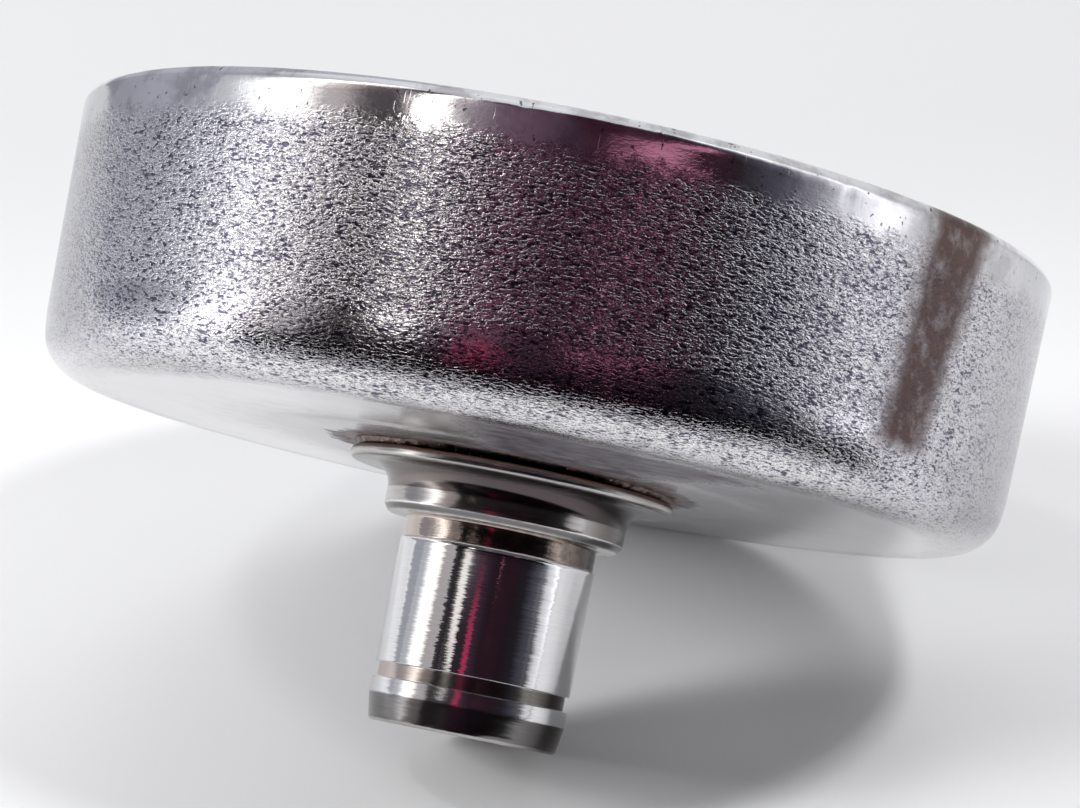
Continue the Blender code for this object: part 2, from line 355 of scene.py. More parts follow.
def brazeRing(name, section, wander, lump, seed):
    # lofts a small closed section round the joint: (radius, height, share of the wander)
    rings = []
    for k in range(brazeForm["segments"]):
        a = math.tau * k / brazeForm["segments"]
        around = Vector((math.cos(a), math.sin(a), seed))
        uneven = noise.noise(around * 4) * 0.6 + noise.noise(around * 17) * 0.3
        drift = wander * (0.45 * math.cos(2 * (a + 0.1)) + uneven)
        ring = []
        for r, z, share in section:
            reach = r + drift * share
            ring.append((reach * math.cos(a), reach * math.sin(a), z))
        rings.append(ring)

    def roughen(point):
        free = min(1, max(0, (polar(point)[0] - section[0][0]) / (0.2 * mm)))
        uneven = noise.noise(point / (0.9 * mm)) + 0.6 * noise.noise(point / (0.35 * mm))
        return pushed(point, lump * free * uneven)

    return meshFromRings(name, rings, roughen, sharp=60)


def makeOuterBraze():
    inside = hubForm["flangeRadius"] - hubForm["seatInset"] + brazeForm["gap"]
    outside = hubForm["flangeRadius"] - brazeForm["outerSetback"]
    low, high = padFace + brazeForm["gap"], flangeBack - brazeForm["gap"]
    width, rise = outside - inside, high - low
    foot = 0.06 * mm
    section = [(inside, low, 0), (outside, low, 1), (outside - foot / 2, low + foot, 1)]
    for k in range(1, 7):
        share = k / 7
        section.append((outside - width * (0.08 + 0.5 * share ** 1.5), low + foot + (rise - foot) * share, 1))
    section += [(outside - width * 0.62, high, 0.8), (inside, high, 0)]
    ring = brazeRing("outerBraze", section, brazeForm["outerWander"], brazeForm["lump"], 3.1)
    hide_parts("outer_braze_ring")
    return ring


def makeInnerBraze():
    inside = hubForm["spigotRadius"] + brazeForm["gap"]
    top = padFace - bellForm["padRise"] - bellForm["sheet"] - brazeForm["gap"]
    reach, drop, lip = brazeForm["innerWidth"], brazeForm["innerHeight"], 0.05 * mm
    section = [(inside, top, 0), (inside, top - drop, 0)]
    for k in range(1, 9):
        share = k / 9
        section.append((inside + reach * share, top - drop * (1 - share) ** 2.2 - lip, share))
    section += [(inside + reach, top - lip, 1), (inside + reach, top, 1)]
    ring = brazeRing("innerBraze", section, brazeForm["innerWander"], brazeForm["lump"] * 0.6, 8.4)
    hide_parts("inner_braze_ring")
    return ring


bench = {}                          # its tree is the one that new nodes and links go to


def link(socket, target):
    bench["tree"].links.new(socket, target)


def feed(sockets, values):
    # links each input that is given a socket, and sets each that is given a value
    for name, value in values.items():
        if isinstance(value, bpy.types.NodeSocket):
            link(value, sockets[name])
        else:
            sockets[name].default_value = value


def put(kind, inputs=None, **settings):
    node = bench["tree"].nodes.new("ShaderNode" + kind)
    for name, value in settings.items():
        setattr(node, name, value)
    feed(node.inputs, inputs or {})
    return node


def calc(operation, *values):
    return put("Math", dict(enumerate(values)), operation=operation).outputs[0]


def chain(operation):
    # makes a helper that takes any number of values
    def total(*values):
        result = values[0]
        for value in values[1:]:
            result = calc(operation, result, value)
        return result

    return total


times, plus, minus, most = (chain(operation) for operation in ("MULTIPLY", "ADD", "SUBTRACT", "MAXIMUM"))


def opposite(value):
    return minus(1.0, value)


def swing(tone, reach):
    # a noise's tone, moved to either side of zero
    return times(minus(tone, 0.5), reach)


def window(value, low, high):
    # 0 below low, 1 above high, smooth between
    return put("MapRange", {"Value": value, "From Min": low, "From Max": high},
               interpolation_type="SMOOTHSTEP").outputs["Result"]


def below(value, low, high):
    return opposite(window(value, low, high))


def band(value, low, high, soft):
    return times(window(value, low - soft, low + soft), below(value, high - soft, high + soft))


def blendColour(mask, under, over):
    return put("Mix", {0: mask, 6: under, 7: over}, data_type="RGBA").outputs[2]


def blendValue(mask, under, over):
    return put("Mix", {0: mask, 2: under, 3: over}, data_type="FLOAT").outputs[0]


def vectorOf(x, y, z):
    return put("CombineXYZ", {0: x, 1: y, 2: z}).outputs[0]


def ramp(value, stops):
    node = put("ValToRGB", {0: value})
    points = node.color_ramp.elements
    while len(points) < len(stops):
        points.new(1.0)
    for point, (place, colour) in zip(points, stops):
        point.position = place
        point.color = (*colour, 1) if isinstance(colour, tuple) else (colour, colour, colour, 1)
    return node.outputs["Color"]


def noiseTone(vector, scale=1.0, detail=2.0, roughness=0.5, distortion=0.0):
    return put("TexNoise", {"Vector": vector, "Scale": scale, "Detail": detail, "Roughness": roughness,
                            "Distortion": distortion}).outputs[0]


def newGroup(name, inputs, outputs):
    # each socket is a number or a vector, as its value is
    group = bench["tree"] = bpy.data.node_groups.new(name, "ShaderNodeTree")
    for direction, sockets in (("INPUT", inputs), ("OUTPUT", outputs)):
        for socketName, value in sockets.items():
            kind = "NodeSocketVector" if isinstance(value, tuple) else "NodeSocketFloat"
            group.interface.new_socket(socketName, in_out=direction, socket_type=kind).default_value = value
    return group.nodes.new("NodeGroupInput").outputs, group.nodes.new("NodeGroupOutput").inputs


noVector = (0.0, 0.0, 0.0)
effects = {}


def effect(name, **inputs):
    # places one of the shared groups; socket names start with a capital
    node = put("Group", node_tree=effects[name])
    feed(node.inputs, {key.capitalize(): value for key, value in inputs.items()})
    return node.outputs


def turnedSpaceGroup():
    # where a point is on the turned form: radius, height, angle and unit direction
    _, result = newGroup("turnedSpace", {}, {"Radius": 0.0, "Height": 0.0, "Angle": 0.0, "Round": noVector,
                                             "Place": noVector})
    place = put("TexCoord").outputs["Object"]
    split = put("SeparateXYZ", {0: place}).outputs
    flat = vectorOf(split[0], split[1], 0.0)
    link(put("VectorMath", {0: flat}, operation="LENGTH").outputs["Value"], result["Radius"])
    link(split[2], result["Height"])
    link(calc("ARCTAN2", split[1], split[0]), result["Angle"])
    link(put("VectorMath", {0: flat}, operation="NORMALIZE").outputs["Vector"], result["Round"])
    link(place, result["Place"])


def stretched(given, count, along, size):
    # noise space that is wound round the axis, with so many cells round and cells of one size along it
    spin = put("VectorMath", {0: given["Round"], 3: count}, operation="SCALE")
    parts = put("SeparateXYZ", {0: spin.outputs["Vector"]}).outputs
    return vectorOf(parts[0], parts[1], calc("DIVIDE", along, size))


def orangePeelGroup():
    # skin of deep-drawn sheet: worm-like grains that lie round the drum
    given, result = newGroup("orangePeel", {"Round": noVector, "Along": 0.0, "Count": 80.0, "Thick": 0.2 * mm,
                                            "Depth": 0.03 * mm}, {"Height": 0.0, "ValleyShade": 0.0})
    vector = stretched(given, given["Count"], given["Along"], given["Thick"])
    grain = noiseTone(vector, distortion=0.55)
    link(times(window(grain, 0.3, 0.7), given["Depth"]), result["Height"])
    fine = noiseTone(vector, scale=1.35, detail=1.0, distortion=1.1)
    coarse = noiseTone(vector, scale=0.3, detail=1.0)
    # painted shade: thin crooked dark lines between the grains, and in pits where the grains lie low
    lines = below(calc("ABSOLUTE", minus(fine, 0.5)), 0.012, 0.062)
    lows = below(plus(grain, swing(coarse, 0.3)), 0.36, 0.47)
    link(most(times(lines, 0.92), lows), result["ValleyShade"])


def turnedLinesGroup():
    # fine rings that a turning tool or a grinding wheel leaves round the axis
    given, result = newGroup("turnedLines", {"Radius": 0.0, "Height": 0.0, "Round": noVector, "Pitch": 0.1 * mm,
                                             "Depth": 0.002 * mm, "Length": 3.0}, {"Relief": 0.0, "Tone": 0.0})
    travel = plus(given["Height"], given["Radius"])
    lines = noiseTone(stretched(given, given["Length"], travel, given["Pitch"]), detail=2.5, roughness=0.6)
    link(times(lines, given["Depth"]), result["Relief"])
    link(window(lines, 0.35, 0.65), result["Tone"])


def latheWobbleGroup():
    # each ring of a turned face leans a little to one side, so that reflections get saw-toothed edges
    given, result = newGroup("latheWobble", {"Height": 0.0, "Round": noVector, "Pitch": 0.1 * mm, "Lean": 0.05,
                                             "Length": 2.0}, {"Normal": noVector})
    lines = noiseTone(stretched(given, given["Length"], given["Height"], given["Pitch"]), roughness=0.7)
    tangent = put("VectorMath", {0: (0, 0, 1), 1: given["Round"]}, operation="CROSS_PRODUCT").outputs["Vector"]
    push = put("VectorMath", {0: tangent, 3: swing(lines, given["Lean"])}, operation="SCALE").outputs["Vector"]
    total = put("VectorMath", {0: put("NewGeometry").outputs["Normal"], 1: push}).outputs["Vector"]
    link(put("VectorMath", {0: total}, operation="NORMALIZE").outputs["Vector"], result["Normal"])


def scuffsGroup():
    # scuffs along the axis, from the drawing die and from handling
    given, result = newGroup("scuffs", {"Height": 0.0, "Round": noVector, "Count": 300.0, "Length": 4 * mm,
                                        "Amount": 0.5}, {"Mask": 0.0})
    lines = noiseTone(stretched(given, given["Count"], given["Height"], given["Length"]), roughness=0.55)
    edge = minus(0.85, times(given["Amount"], 0.35))
    link(window(lines, edge, plus(edge, 0.06)), result["Mask"])


def blotchesGroup():
    # uneven patches with soft ragged edges
    given, result = newGroup("blotches", {"Place": noVector, "Size": 3 * mm, "Level": 0.55, "Soft": 0.08,
                                          "Ragged": 4.0}, {"Mask": 0.0, "Tone": 0.0})
    patches = noiseTone(given["Place"], calc("DIVIDE", 1.0, given["Size"]), given["Ragged"], 0.6)
    level, soft = given["Level"], given["Soft"]
    link(window(patches, minus(level, soft), plus(level, soft)), result["Mask"])
    link(patches, result["Tone"])


def makeEffects():
    builders = {"space": turnedSpaceGroup, "peel": orangePeelGroup, "rings": turnedLinesGroup,
                "wobble": latheWobbleGroup, "scuffs": scuffsGroup, "blotches": blotchesGroup}
    for name, build in builders.items():
        build()
        effects[name] = bench["tree"]


def patchy(place, size, **more):
    return effect("blotches", place=place, size=size, **more)


def inRadians(angles):
    return [math.radians(angle) for angle in angles]


def newMaterial(name):
    material = bpy.data.materials.new(name)
    material.use_nodes = True
    bench["tree"] = material.node_tree
    return material, material.node_tree.nodes["Principled BSDF"]


def showSurface(node):
    link(node.outputs[0], bench["tree"].nodes["Material Output"].inputs["Surface"])


def newFinish(name):
    material, shader = newMaterial(name)
    shader.inputs["Metallic"].default_value = 1.0
    return material, shader, effect("space")


def connect(shader, colour, roughness, relief, normal=None):
    link(colour, shader.inputs["Base Color"])
    link(roughness, shader.inputs["Roughness"])
    bump = put("Bump", {"Strength": 1.0, "Distance": 1.0, "Height": relief})
    if normal is not None:
        link(normal, bump.inputs["Normal"])
    link(bump.outputs["Normal"], shader.inputs["Normal"])


bellFinish = {
    "wall": (0.78, 0.775, 0.80, 1),
    "flank": (0.52, 0.52, 0.545, 1),    # painted shade: the wall is coloured darker on both sides, away from the front
    "flankShadeAngles": (48, 68),            # degrees from the front, where the painted shade sets in
    "web": (0.73, 0.725, 0.73, 1),
    # painted highlight on the corner towards the front; the rolled rim gets this lighter colour too
    "corner": (0.96, 0.955, 0.96, 1),
    "cornerSheenAngles": (26, 48),           # degrees from the front, where the corner's painted highlight ends
    # painted shade in the grain's valleys and low spots
    "valleyShade": (0.04, 0.03, 0.085, 1),
    "valleyShadeShare": 0.92,
    "stain": (0.125, 0.085, 0.075, 1),
    "smudge": (0.30, 0.29, 0.31, 1),
    "pit": (0.05, 0.045, 0.05, 1),
    "grainsRound": 85.0,                # noise cells in one radian of the wall
    "grainThick": 0.19 * mm,
    "grainDepth": 0.026 * mm,
    "grainFrom": (2.2 * mm, 4.2 * mm),  # above the ironed rim the grain starts, and is full
    "grainTo": (6.2 * mm, 4.6 * mm),    # this far inside the rim's edge the grain ends, and is full
    "pressed": (15.4 * mm, 18.3 * mm),  # the die's edge pressed the grain flatter just above the corner
    "wallRoughness": 0.115,
    "webRoughness": 0.055,
    "markAngle": -136.7,                # brown water mark, degrees round the drum at the rim
    "markDrift": 0.2,                   # degrees that it moves for each millimetre down the wall
    "markWidth": 5.6,
    # partly a heat film, partly painted shade and painted dark reflection round the hub
    "pad": (0.05, 0.036, 0.058, 1),
    "filmAndShadeRadii": (17 * mm, 27 * mm),         # the heat film and the painted shade fade out between these radii
    "darkerNearHub": (13.8 * mm, 15.2 * mm),
    "frontShadeAngles": (-127, -79, 9),        # degrees where the painted dark reflection reaches further out, on the side facing the camera, and how softly it ends
    "frontShadeReach": (29 * mm, 34 * mm),
    "copper": (0.55, 0.33, 0.24, 1),
    "flux": (0.05, 0.04, 0.035, 1),
}


def bellSteel():
    form = bellFinish
    material, shader, space = newFinish("drawnSteel")
    place, radius, height, turned = (space[name] for name in ("Place", "Radius", "Height", "Round"))
    webFace = padFace - bellForm["padRise"]
    rim = bellForm["rimRadius"]
    outside = window(radius, rim - 2.2 * mm, rim - 1.9 * mm)
    overWeb = window(height, webFace - 2.0 * mm, webFace - 1.6 * mm)
    ragged = patchy(place, 1.2 * mm)["Tone"]
    drift = swing(ragged, 3 * mm)
    angleDrift = times(drift, 60.0)
    raggedRadius = plus(radius, drift)
    # grain fades out over the ironed rim and where the corner runs into the flat web
    grainZone = window(plus(height, drift), *form["grainFrom"])
    towardWeb = window(raggedRadius, *(rim - inside for inside in form["grainTo"]))
    grainShare = times(grainZone, towardWeb, most(outside, overWeb))
    smooth = opposite(grainShare)
    # painted shade: the wall is coloured darker on its sides, away from the front
    fromFront = calc("ABSOLUTE", plus(space["Angle"], math.pi / 2))
    flank = window(plus(fromFront, angleDrift), *inRadians(form["flankShadeAngles"]))
    peel = effect("peel", round=turned, along=minus(height, radius), count=form["grainsRound"],
                  thick=form["grainThick"], depth=form["grainDepth"])
    unpressed = opposite(times(band(height, *form["pressed"], 0.6 * mm), 0.65))
    relief = times(peel["Height"], plus(times(grainShare, unpressed, 0.95), 0.05))
    # scuffs along the axis, mostly on the ironed band
    scuffs = effect("scuffs", height=height, round=turned, count=240.0, length=4 * mm, amount=0.42)["Mask"]
    scuffShare = times(scuffs, opposite(overWeb), opposite(times(grainShare, 0.8)))
    relief = minus(relief, times(scuffShare, 0.003 * mm))
    # turned rings on the friction wall inside and faint ones on the web
    rings = effect("rings", radius=radius, height=height, round=turned, pitch=0.16 * mm, depth=0.006 * mm,
                   length=2.0)["Relief"]
    ringShare = times(opposite(times(outside, 0.97)), opposite(times(overWeb, 0.93)))
    relief = plus(relief, times(rings, ringShare))
    # steel, smudges and pits
    onWeb = window(height, webFace - 1.6 * mm, webFace - 0.3 * mm)
    colour = blendColour(onWeb, blendColour(flank, form["wall"], form["flank"]), form["web"])
    # painted highlight: the corner is coloured lighter towards the front; the rolled rim is coloured lighter all
    # round
    cornerSheen = times(window(height, webFace - 2.0 * mm, webFace - 1.2 * mm), towardWeb,
                     below(fromFront, *inRadians(form["cornerSheenAngles"])))
    rolled = times(below(height, 0.45 * mm, 0.75 * mm), window(radius, rim - 1.5 * mm, rim - 1.1 * mm))
    for lightened in (cornerSheen, rolled):
        colour = blendColour(lightened, colour, form["corner"])
    smudge = patchy(place, 3.5 * mm, level=0.56, soft=0.1)["Mask"]
    smudgeShare = times(smudge, blendValue(grainShare, 0.5, 0.18), opposite(times(onWeb, 0.7)))
    colour = blendColour(smudgeShare, colour, form["smudge"])
    pits = patchy(place, 0.55 * mm, level=0.69, soft=0.025, ragged=2.0)["Mask"]
    colour = blendColour(times(pits, smooth, outside, 0.8), colour, form["pit"])
    # the brown mark, wide at the rim and narrow at the corner
    half = math.radians(form["markWidth"])
    markMiddle = plus(times(height, math.radians(form["markDrift"]) / mm), math.radians(form["markAngle"]))
    fromMark = calc("ABSOLUTE", minus(space["Angle"], markMiddle))
    taper = times(window(height, 0.0, 17 * mm), half * 0.22)
    fromMark = plus(fromMark, taper, times(drift, half / (3 * mm)))
    markShare = times(below(fromMark, half * 0.55, half * 1.3), outside,
                      below(height, webFace - 5.2 * mm, webFace - 3.2 * mm),
                      plus(times(ragged, 0.95), 0.5))
    colour = blendColour(markShare, colour, form["stain"])
    # painted shade: dark valleys between the grains
    valleyShadeShare = times(peel["ValleyShade"], grainShare, form["valleyShadeShare"],
                        opposite(times(flank, 0.45)), opposite(times(markShare, 0.6)))
    colour = blendColour(valleyShadeShare, colour, form["valleyShade"])
    # a dull heat film on the web takes some of the shine; the same mask paints shade and a dark reflection of the
    # hub and flange, darker near the hub and reaching further on the camera's side
    padTone = patchy(place, 1.6 * mm, level=0.5, soft=0.2)["Mask"]
    filmAndShade = below(plus(radius, times(drift, 2.0)), *form["filmAndShadeRadii"])
    filmAndShade = times(filmAndShade, most(below(raggedRadius, *form["darkerNearHub"]), 0.35))
    frontShade = band(plus(space["Angle"], angleDrift), *inRadians(form["frontShadeAngles"]))
    filmAndShade = most(filmAndShade, times(frontShade, below(raggedRadius, *form["frontShadeReach"])))
    filmAndShade = times(filmAndShade, overWeb)
    colour = blendColour(times(filmAndShade, plus(times(padTone, 0.2), 0.75)), colour, form["pad"])
    link(opposite(times(filmAndShade, 0.9)), shader.inputs["Metallic"])
    shader.inputs["Specular IOR Level"].default_value = 0.1
    # copper and flux round the braze on the pad
    onPad = below(radius, bellForm["padRadius"] - 0.3 * mm, bellForm["padRadius"] + 0.1 * mm)
    nearHub = times(below(radius, 12.6 * mm, 14.2 * mm), onPad, overWeb)
    specks = patchy(place, 0.45 * mm, level=0.6, soft=0.05)
    copperShare = times(most(specks["Mask"], padTone), nearHub, 0.5)
    colour = blendColour(copperShare, colour, form["copper"])
    fluxShare = times(patchy(place, 0.9 * mm, level=0.57, soft=0.04)["Mask"], nearHub)
    colour = blendColour(times(fluxShare, 0.7), colour, form["flux"])
    relief = plus(relief, times(specks["Tone"], nearHub, 0.02 * mm))
    roughness = plus(blendValue(overWeb, form["wallRoughness"], form["webRoughness"]),
                     swing(patchy(place, 2 * mm)["Tone"], 0.10),
                     times(plus(markShare, fluxShare), 0.2), times(filmAndShade, 0.3))
    connect(shader, colour, roughness, relief)
    return material


hubFinish = {
    "bright": (0.49, 0.47, 0.455),
    "ground": (0.72, 0.72, 0.73),
    # painted shade: the fillet's hollow is coloured dark
    "fillet": (0.105, 0.086, 0.092),
    "edge": (0.86, 0.85, 0.84),
    "relief": (0.24, 0.195, 0.175),
    "groove": (0.25, 0.24, 0.215),
    "lead": (0.19, 0.185, 0.185),
    "tint": (0.62, 0.45, 0.38),
    "bore": (0.22, 0.21, 0.2, 1),
    "line": (0.10, 0.09, 0.09, 1),
    "linePitch": 0.07 * mm,
    "lineDepth": 0.0035 * mm,
    "lean": 0.13,                   # sideways lean of the ground rings, as a slope
    "filletSheen": (0.21, 0.19, 0.18, 1),  # painted sheen: the fillet is coloured lighter on one side
    "rust": (0.44, 0.355, 0.30, 1),
    # painted shade on one side and painted sheen on the other
    "sideShadeColour": (0.04, 0.034, 0.031, 1),
    "sideSheenColour": (0.55, 0.47, 0.43, 1),
}


def hubSteel():
    form = hubFinish
    material, shader, space = newFinish("turnedSteel")
    place, radius, height, turned = (space[name] for name in ("Place", "Radius", "Height", "Round"))
    sideways = put("SeparateXYZ", {0: turned}).outputs[0]
    length = hubTip - spigotEnd
    level = plus(height, swing(patchy(place, 0.6 * mm)["Tone"], 0.12 * mm))
    share = calc("DIVIDE", minus(level, spigotEnd), length)
    filletEnd = shoulder - 1.75 * mm
    zones = (  # start of each zone, colour, roughness, depth of its turned lines
        (spigotEnd, form["lead"], 0.35, 0.5),
        (flangeBack - 0.1 * mm, form["tint"], 0.3, 0.6),
        (flangeBack + 0.24 * mm, form["bright"], 0.2, 0.8),
        # painted shade: the fillet's dark colour
        (flangeFace - 0.08 * mm, form["fillet"], 0.17, 0.6),
        (filletEnd, form["bright"], 0.16, 0.5),
        (shoulder - 0.60 * mm, form["edge"], 0.2, 0.2),
        (shoulder - 0.50 * mm, form["lead"], 0.2, 0.6),
        (shoulder - 0.08 * mm, form["edge"], 0.2, 0.2),
        (shoulder + 0.06 * mm, form["relief"], 0.12, 0.7),
        (journalStart - 0.02 * mm, form["ground"], 0.055, 0.25),
        (grooveStart + 0.05 * mm, form["groove"], 0.16, 0.7),
        (grooveEnd - 0.06 * mm, form["ground"], 0.13, 0.35),
        (leadStart - 0.05 * mm, form["lead"], 0.17, 1.0),
        (hubTip - 0.22 * mm, form["bright"], 0.2, 0.3),
    )
    blur = 0.0015                   # half the width of the change from zone to zone, as a share of the length

    def along(index):
        stops = [(0.0, zones[0][index])]
        for before, zone in zip(zones, zones[1:]):
            start = (zone[0] - spigotEnd) / length
            stops += [(start - blur, before[index]), (start + blur, zone[index])]
        return ramp(share, stops)

    colour, roughness, lineDepth = along(1), along(2), along(3)
    rings = effect("rings", radius=radius, height=height, round=turned, pitch=form["linePitch"],
                   depth=form["lineDepth"], length=2.5)
    colour = blendColour(times(rings["Tone"], lineDepth, 0.3), colour, form["line"])
    onFillet = band(height, flangeFace - 0.05 * mm, filletEnd, 0.05 * mm)
    # painted sheen on one side of the fillet
    colour = blendColour(times(onFillet, window(sideways, 0.15, 0.8)), colour, form["filletSheen"])
    wobble = effect("wobble", height=height, round=turned, pitch=0.12 * mm, lean=form["lean"], length=3.0)["Normal"]
    # the undercut kept rust and flux
    inRelief = band(height, shoulder + 0.05 * mm, journalStart - 0.05 * mm, 0.06 * mm)
    rust = patchy(place, 1.1 * mm, level=0.52, soft=0.08)
    colour = blendColour(times(rust["Mask"], inRelief, 0.6), colour, form["rust"])
    relief = plus(times(rings["Relief"], lineDepth), times(rust["Tone"], inRelief, 0.02 * mm))
    # painted shade and painted sheen: one side of the collar, the undercut, the groove and the taper is coloured
    # darker, and the other side of the undercut and the groove lighter
    inGroove = band(height, grooveStart + 0.04 * mm, grooveEnd - 0.04 * mm, 0.03 * mm)
    onCollar = band(height, flangeFace - 0.05 * mm, shoulder - 0.62 * mm, 0.04 * mm)
    onLead = window(height, leadStart - 0.1 * mm, leadStart)
    sideShade = times(below(sideways, -0.92, -0.45), most(inGroove, inRelief, onCollar, onLead),
                  plus(times(most(inGroove, onLead), 0.2), 0.75))
    colour = blendColour(sideShade, colour, form["sideShadeColour"])
    sideSheen = times(window(sideways, 0.3, 0.8), most(inGroove, inRelief), 0.85)
    colour = blendColour(sideSheen, colour, form["sideSheenColour"])
    inBore = below(radius, hubForm["mouthRadius"] - 0.1 * mm, hubForm["mouthRadius"])
    colour = blendColour(inBore, colour, form["bore"])
    scuffs = effect("scuffs", height=height, round=turned, count=60.0, length=6 * mm, amount=0.35)["Mask"]
    onJournal = band(height, journalStart, grooveStart, 0.05 * mm)
    roughness = plus(blendValue(inBore, roughness, 0.4),
                     swing(patchy(place, 1.4 * mm)["Tone"], 0.1), times(scuffs, onJournal, 0.12))
    connect(shader, colour, roughness, relief, wobble)
    return material


brazeFinish = {
    # painted shade: black for the shaded gap under the flange
    "gap": (0.006, 0.005, 0.005, 1),
    "crust": (0.05, 0.037, 0.034, 1),
    "metal": (0.16, 0.105, 0.085, 1),
    "lump": (0.22, 0.18, 0.165, 1),
    "speck": (0.66, 0.47, 0.37, 1),
}


def brazeCopper():
    form = brazeFinish
    material, shader, space = newFinish("copperBraze")
    patches = patchy(space["Place"], 0.8 * mm, level=0.55, soft=0.12)
    specks = patchy(space["Place"], 0.3 * mm, level=0.66, soft=0.04)
    colour = blendColour(patches["Mask"], form["crust"], form["metal"])
    # the filler ran thick on two sides of the joint
    sideways = put("SeparateXYZ", {0: space["Round"]}).outputs[0]
    thick = most(window(sideways, 0.35, 0.75), below(sideways, -0.8, -0.45))
    colour = blendColour(times(thick, patches["Tone"], 1.3), colour, form["lump"])
    # painted shade: elsewhere the joint is coloured black, for the shaded gap below a dull lip
    gap = window(space["Height"], padFace + 0.06 * mm, padFace + 0.16 * mm)
    colour = blendColour(times(gap, opposite(thick)), colour, form["gap"])
    colour = blendColour(specks["Mask"], colour, form["speck"])
    roughness = plus(times(patches["Tone"], 0.3), 0.25)
    connect(shader, colour, roughness, times(specks["Tone"], 0.06 * mm))
    return material


cameraPlace = {
    "distance": 243.586 * mm,       # from the drum's axis
    "height": 41.639 * mm,          # level with the free end of the hub
    "yaw": -0.22,
    "pitch": 6.07,
    "roll": -11.25,
    "lens": 106.8,                  # on a 36 mm wide sensor
}


def makeCamera():
    # the hub points down in the picture, so the picture's up is the part's -Z
    data = bpy.data.cameras.new("camera")
    data.lens = cameraPlace["lens"]
    data.sensor_width = 36
    data.clip_start = 0.01
    camera = stand("camera", data)
    upright = Matrix(((-1, 0, 0), (0, 0, -1), (0, -1, 0)))
    for axis, degrees in (("Y", cameraPlace["yaw"]), ("X", cameraPlace["pitch"]), ("Z", -cameraPlace["roll"])):
        upright = upright @ Matrix.Rotation(math.radians(degrees), 3, axis)
    spot = (0, -cameraPlace["distance"], cameraPlace["height"])
    camera.matrix_world = Matrix.Translation(spot) @ upright.to_4x4()
    bpy.context.scene.camera = camera


floorPlace = {
    "turn": 16.6,                   # degrees that the drum has rolled round its axis
    "size": 3.0,
    "colour": (0.80, 0.805, 0.815, 1),
    "farShadeColour": (0.595, 0.599, 0.607, 1),  # painted shade: the sheet is coloured a little greyer behind the drum
    "farStart": 8 * mm,
    "farEnd": 120 * mm,
}


def floorFrame():
    # the drum lies on the edge of its hub's tip and on its rounded corner: the plane that touches both
    corner = bellForm["cornerRadius"]
    atCorner = bellForm["rimRadius"] - bellForm["wallDraft"]
    cornerCentre = Vector((atCorner - corner, padFace - bellForm["padRise"] - corner))
    tipEdge = Vector((hubForm["journalRadius"] - hubForm["leadDrop"] - hubForm["tipChamfer"] / 2, hubTip))
    run = cornerCentre - tipEdge
    slope = math.atan2(run.y, run.x) + math.asin(corner / run.length)
    away = math.radians(90 + floorPlace["turn"])
    outward = Vector((math.cos(away), math.sin(away), 0))
    normal = outward * math.sin(slope) - Vector((0, 0, math.cos(slope)))
    return outward * tipEdge.x + Vector((0, 0, tipEdge.y)), normal


def makeFloor():
    point, normal = floorFrame()
    half = floorPlace["size"] / 2
    mesh = bpy.data.meshes.new("floor")
    mesh.from_pydata([(-half, -half, 0), (half, -half, 0), (half, half, 0), (-half, half, 0)], [], [(0, 1, 2, 3)])
    floor = stand("floor", mesh)
    floor.matrix_world = Matrix.Translation(point) @ normal.to_track_quat("Z", "Y").to_matrix().to_4x4()
    material, shader = newMaterial("paleFloor")
    toCamera = bpy.context.scene.camera.matrix_world.translation - point
    behind = -(floor.matrix_world.inverted().to_3x3() @ (toCamera - normal * toCamera.dot(normal)).normalized())
    spot = put("TexCoord").outputs["Object"]
    distance = put("VectorMath", {0: spot, 1: behind}, operation="DOT_PRODUCT").outputs["Value"]
    # painted shade: the floor is coloured greyer further behind the drum
    far = window(distance, floorPlace["farStart"], floorPlace["farEnd"])
    link(blendColour(far, floorPlace["colour"], floorPlace["farShadeColour"]), shader.inputs["Base Color"])
    shader.inputs["Roughness"].default_value = 0.6
    # views from below look through the floor
    showSurface(put("MixShader", {0: put("NewGeometry").outputs["Backfacing"], 1: shader.outputs[0],
                                  2: put("BsdfTransparent").outputs[0]}))
    mesh.materials.append(material)
    return normal


def studioFrame(normal):
    # the drum's middle, and the level ways from it towards the camera and to the picture's right
    middle = Vector((0, 0, padFace * 0.6))
    toCamera = bpy.context.scene.camera.matrix_world.translation - middle
    toCamera = (toCamera - normal * toCamera.dot(normal)).normalized()
    right = normal.cross(toCamera)

    def way(side, above):
        side, above = math.radians(side), math.radians(above)
        level = toCamera * math.cos(side) + right * math.sin(side)
        return level * math.cos(above) + normal * math.sin(above)

    return middle, way


lamps = (  # name, degrees to the right of the camera, degrees above the floor, width, height, watts
    ("windowLeft", -85, 20, 0.16, 0.30, 7.0),
    ("windowLeftHigh", -85, 30, 0.16, 0.30, 1.55),
    ("overheadLeft", -75, 62, 0.12, 0.12, 1.0),
    ("overheadRight", 62, 66, 0.12, 0.12, 3.0),
    ("back", 175, 40, 0.6, 0.4, 2.45),
    ("backLeft", -140, 35, 0.40, 0.40, 0.95),
    ("backRight", 140, 42, 0.60, 0.30, 1.25),
)
lampDistance = 0.9
webBounce = {                       # light that the shiny web throws down on the floor
    "angle": 178.0,
    "radius": 15 * mm,
    "width": 10 * mm,
    "depth": 12 * mm,
    "watts": 0.0003,
}


